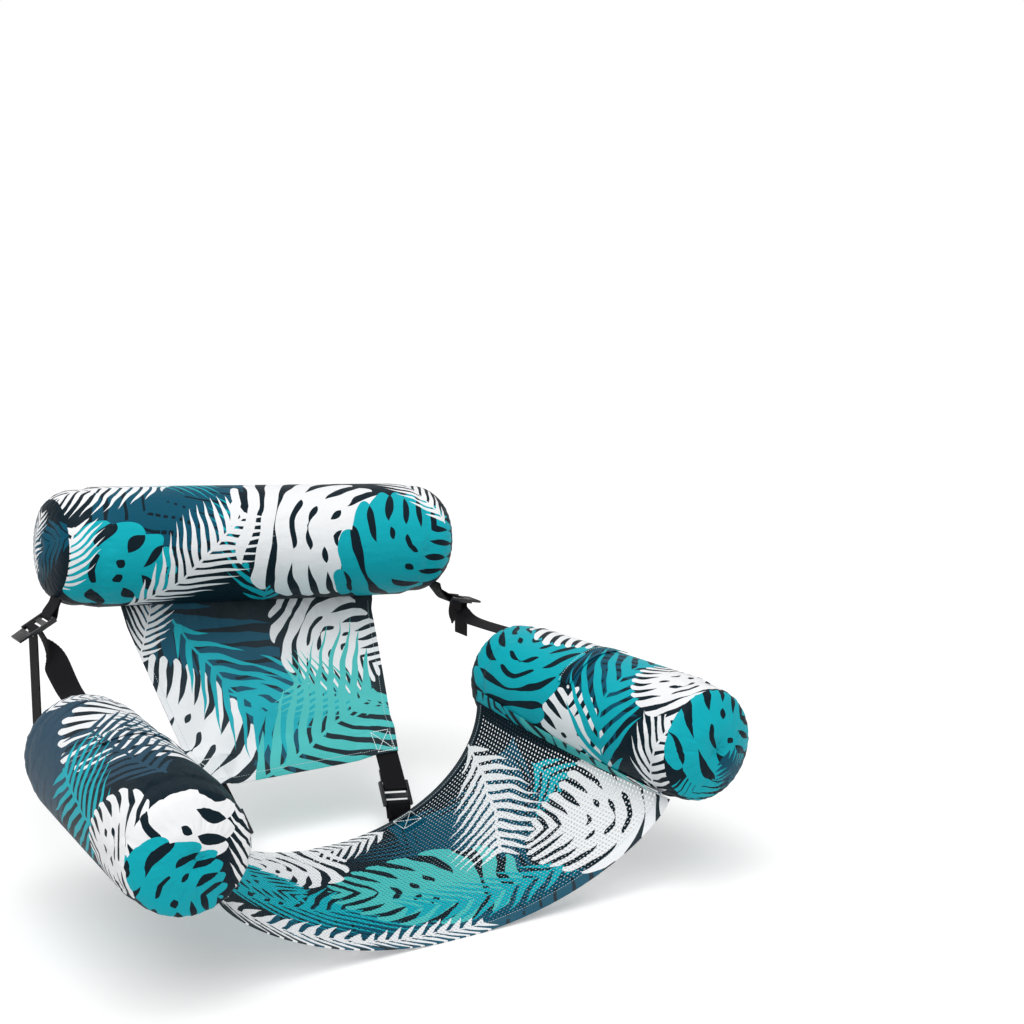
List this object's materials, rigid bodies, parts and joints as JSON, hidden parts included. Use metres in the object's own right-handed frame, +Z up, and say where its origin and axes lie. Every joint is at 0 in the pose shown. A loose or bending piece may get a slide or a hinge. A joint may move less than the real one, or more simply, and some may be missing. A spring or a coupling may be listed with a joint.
{
  "type": "inflatable water hammock",
  "caption": "Floating lounge seat: a mesh seat slung between inflated arm rolls, with a reclined fabric back hung from an inflated head roll on adjustable webbing.",
  "frame": {"origin": "bottom centre of the whole part, on the flat at the underside of the seat net", "axes": "+Z up, the sitter faces -Y, and left and right in the node names are as seen from the front, so right is +X"},
  "size_m": [0.9786, 0.7804, 0.5554],
  "materials": {
    "printed_cover": "satin printed polyester with a leaf print",
    "end_disc": "satin printed polyester",
    "access_flap": "satin printed polyester",
    "seat_mesh": "printed open mesh",
    "hem": "folded printed polyester",
    "back_panel": "thin printed polyester, slightly see-through",
    "webbing": "black woven webbing",
    "lock_plastic": "black moulded plastic",
    "bladder_film": "welded film",
    "valve": "moulded plastic"
  },
  "bodies": {
    "seat": {"seat_net": "seat_mesh", "seat_front_hem": "hem", "seat_rear_hem": "hem", "seat_anchor_strap_left": "webbing", "seat_anchor_strap_right": "webbing", "side_strap_left": "webbing", "side_strap_right": "webbing"},
    "back": {"back_panel": "back_panel", "back_strap_left": "webbing", "back_strap_right": "webbing"},
    "head": {"head_cover": "printed_cover", "head_left_cap": "end_disc", "head_right_cap": "end_disc", "head_bladder": "bladder_film", "head_valve_stem": "valve", "head_loop_left": "webbing", "head_loop_right": "webbing"},
    "arm_left": {"arm_left_cover": "printed_cover", "arm_left_front_cap": "end_disc", "arm_left_rear_cap": "end_disc", "arm_left_bladder": "bladder_film", "arm_left_valve_stem": "valve", "arm_left_side_hem": "hem"},
    "arm_right": {"arm_right_cover": "printed_cover", "arm_right_front_cap": "end_disc", "arm_right_rear_cap": "end_disc", "arm_right_bladder": "bladder_film", "arm_right_valve_stem": "valve", "arm_right_side_hem": "hem"},
    "upper_lock_left": {"upper_ladder_lock_left": "lock_plastic"},
    "lower_lock_left": {"lower_ladder_lock_left": "lock_plastic"},
    "upper_lock_right": {"upper_ladder_lock_right": "lock_plastic"},
    "lower_lock_right": {"lower_ladder_lock_right": "lock_plastic"},
    "arm_left_flap": {"arm_left_access_flap": "access_flap"},
    "arm_left_plug": {"arm_left_valve_plug": "valve"},
    "arm_right_flap": {"arm_right_access_flap": "access_flap"},
    "arm_right_plug": {"arm_right_valve_plug": "valve"},
    "head_flap": {"head_access_flap": "access_flap"},
    "head_plug": {"head_valve_plug": "valve"}
  },
  "joints": [
    {"name": "back_recline", "type": "hinge", "parent": "seat", "child": "back", "pos_m": [0, 0.07329, 0.0435], "axis": [1, 0, 0], "range_deg": [0, 20], "deforming": ["side_strap_left", "side_strap_right", "seat_anchor_strap_left", "seat_anchor_strap_right"]},
    {"name": "head_rock", "type": "hinge", "parent": "back", "child": "head", "pos_m": [-0.00806, 0.28329, 0.34536], "axis": [0.9962, 0, -0.0872], "range_deg": [-12, 12], "deforming": ["head_loop_left", "head_loop_right"]},
    {"name": "arm_left_swing", "type": "hinge", "parent": "seat", "child": "arm_left", "pos_m": [-0.36415, 0.11125, 0.2815], "axis": [0, 0, 1], "range_deg": [-8, 8], "deforming": ["seat_net", "seat_front_hem", "seat_rear_hem"]},
    {"name": "arm_right_swing", "type": "hinge", "parent": "seat", "child": "arm_right", "pos_m": [0.36415, 0.11125, 0.2815], "axis": [0, 0, 1], "range_deg": [-8, 8]},
    {"name": "upper_lock_left_tilt", "type": "hinge", "parent": "back", "child": "upper_lock_left", "pos_m": [-0.34536, 0.2694, 0.3676], "axis": [0, 1, 0], "range_deg": [0, 25]},
    {"name": "upper_lock_right_tilt", "type": "hinge", "parent": "back", "child": "upper_lock_right", "pos_m": [0.34232, 0.2694, 0.30997], "axis": [0, -1, 0], "range_deg": [0, 25]},
    {"name": "lower_lock_left_tilt", "type": "hinge", "parent": "back", "child": "lower_lock_left", "pos_m": [-0.137, 0.07329, 0.0435], "axis": [-0.9916, -0.0717, -0.1076], "range_deg": [0, 25], "deforming": ["back_strap_left"]},
    {"name": "lower_lock_right_tilt", "type": "hinge", "parent": "back", "child": "lower_lock_right", "pos_m": [0.137, 0.07329, 0.0435], "axis": [-0.9916, 0.0718, 0.1078], "range_deg": [0, 25], "deforming": ["back_strap_right"]},
    {"name": "arm_left_flap_open", "type": "hinge", "parent": "arm_left", "child": "arm_left_flap", "pos_m": [-0.35815, -0.11657, 0.29906], "axis": [-0.9631, 0.0741, 0.2588], "range_deg": [0, 100]},
    {"name": "arm_right_flap_open", "type": "hinge", "parent": "arm_right", "child": "arm_right_flap", "pos_m": [0.35815, -0.11657, 0.29906], "axis": [-0.9631, -0.0741, -0.2588], "range_deg": [0, 100]},
    {"name": "head_flap_open", "type": "hinge", "parent": "head", "child": "head_flap", "pos_m": [-0.00918, 0.38383, 0.47029], "axis": [0.0819, -0.342, 0.9361], "range_deg": [0, 100]},
    {"name": "arm_left_plug_pull", "type": "slide", "parent": "arm_left", "child": "arm_left_plug", "axis": [0.2581, -0.0199, 0.9659], "range_m": [0, 0.008]},
    {"name": "arm_right_plug_pull", "type": "slide", "parent": "arm_right", "child": "arm_right_plug", "axis": [-0.2581, -0.0199, 0.9659], "range_m": [0, 0.008]},
    {"name": "head_plug_pull", "type": "slide", "parent": "head", "child": "head_plug", "axis": [0.0298, 0.9397, 0.3407], "range_m": [0, 0.008]}
  ]
}
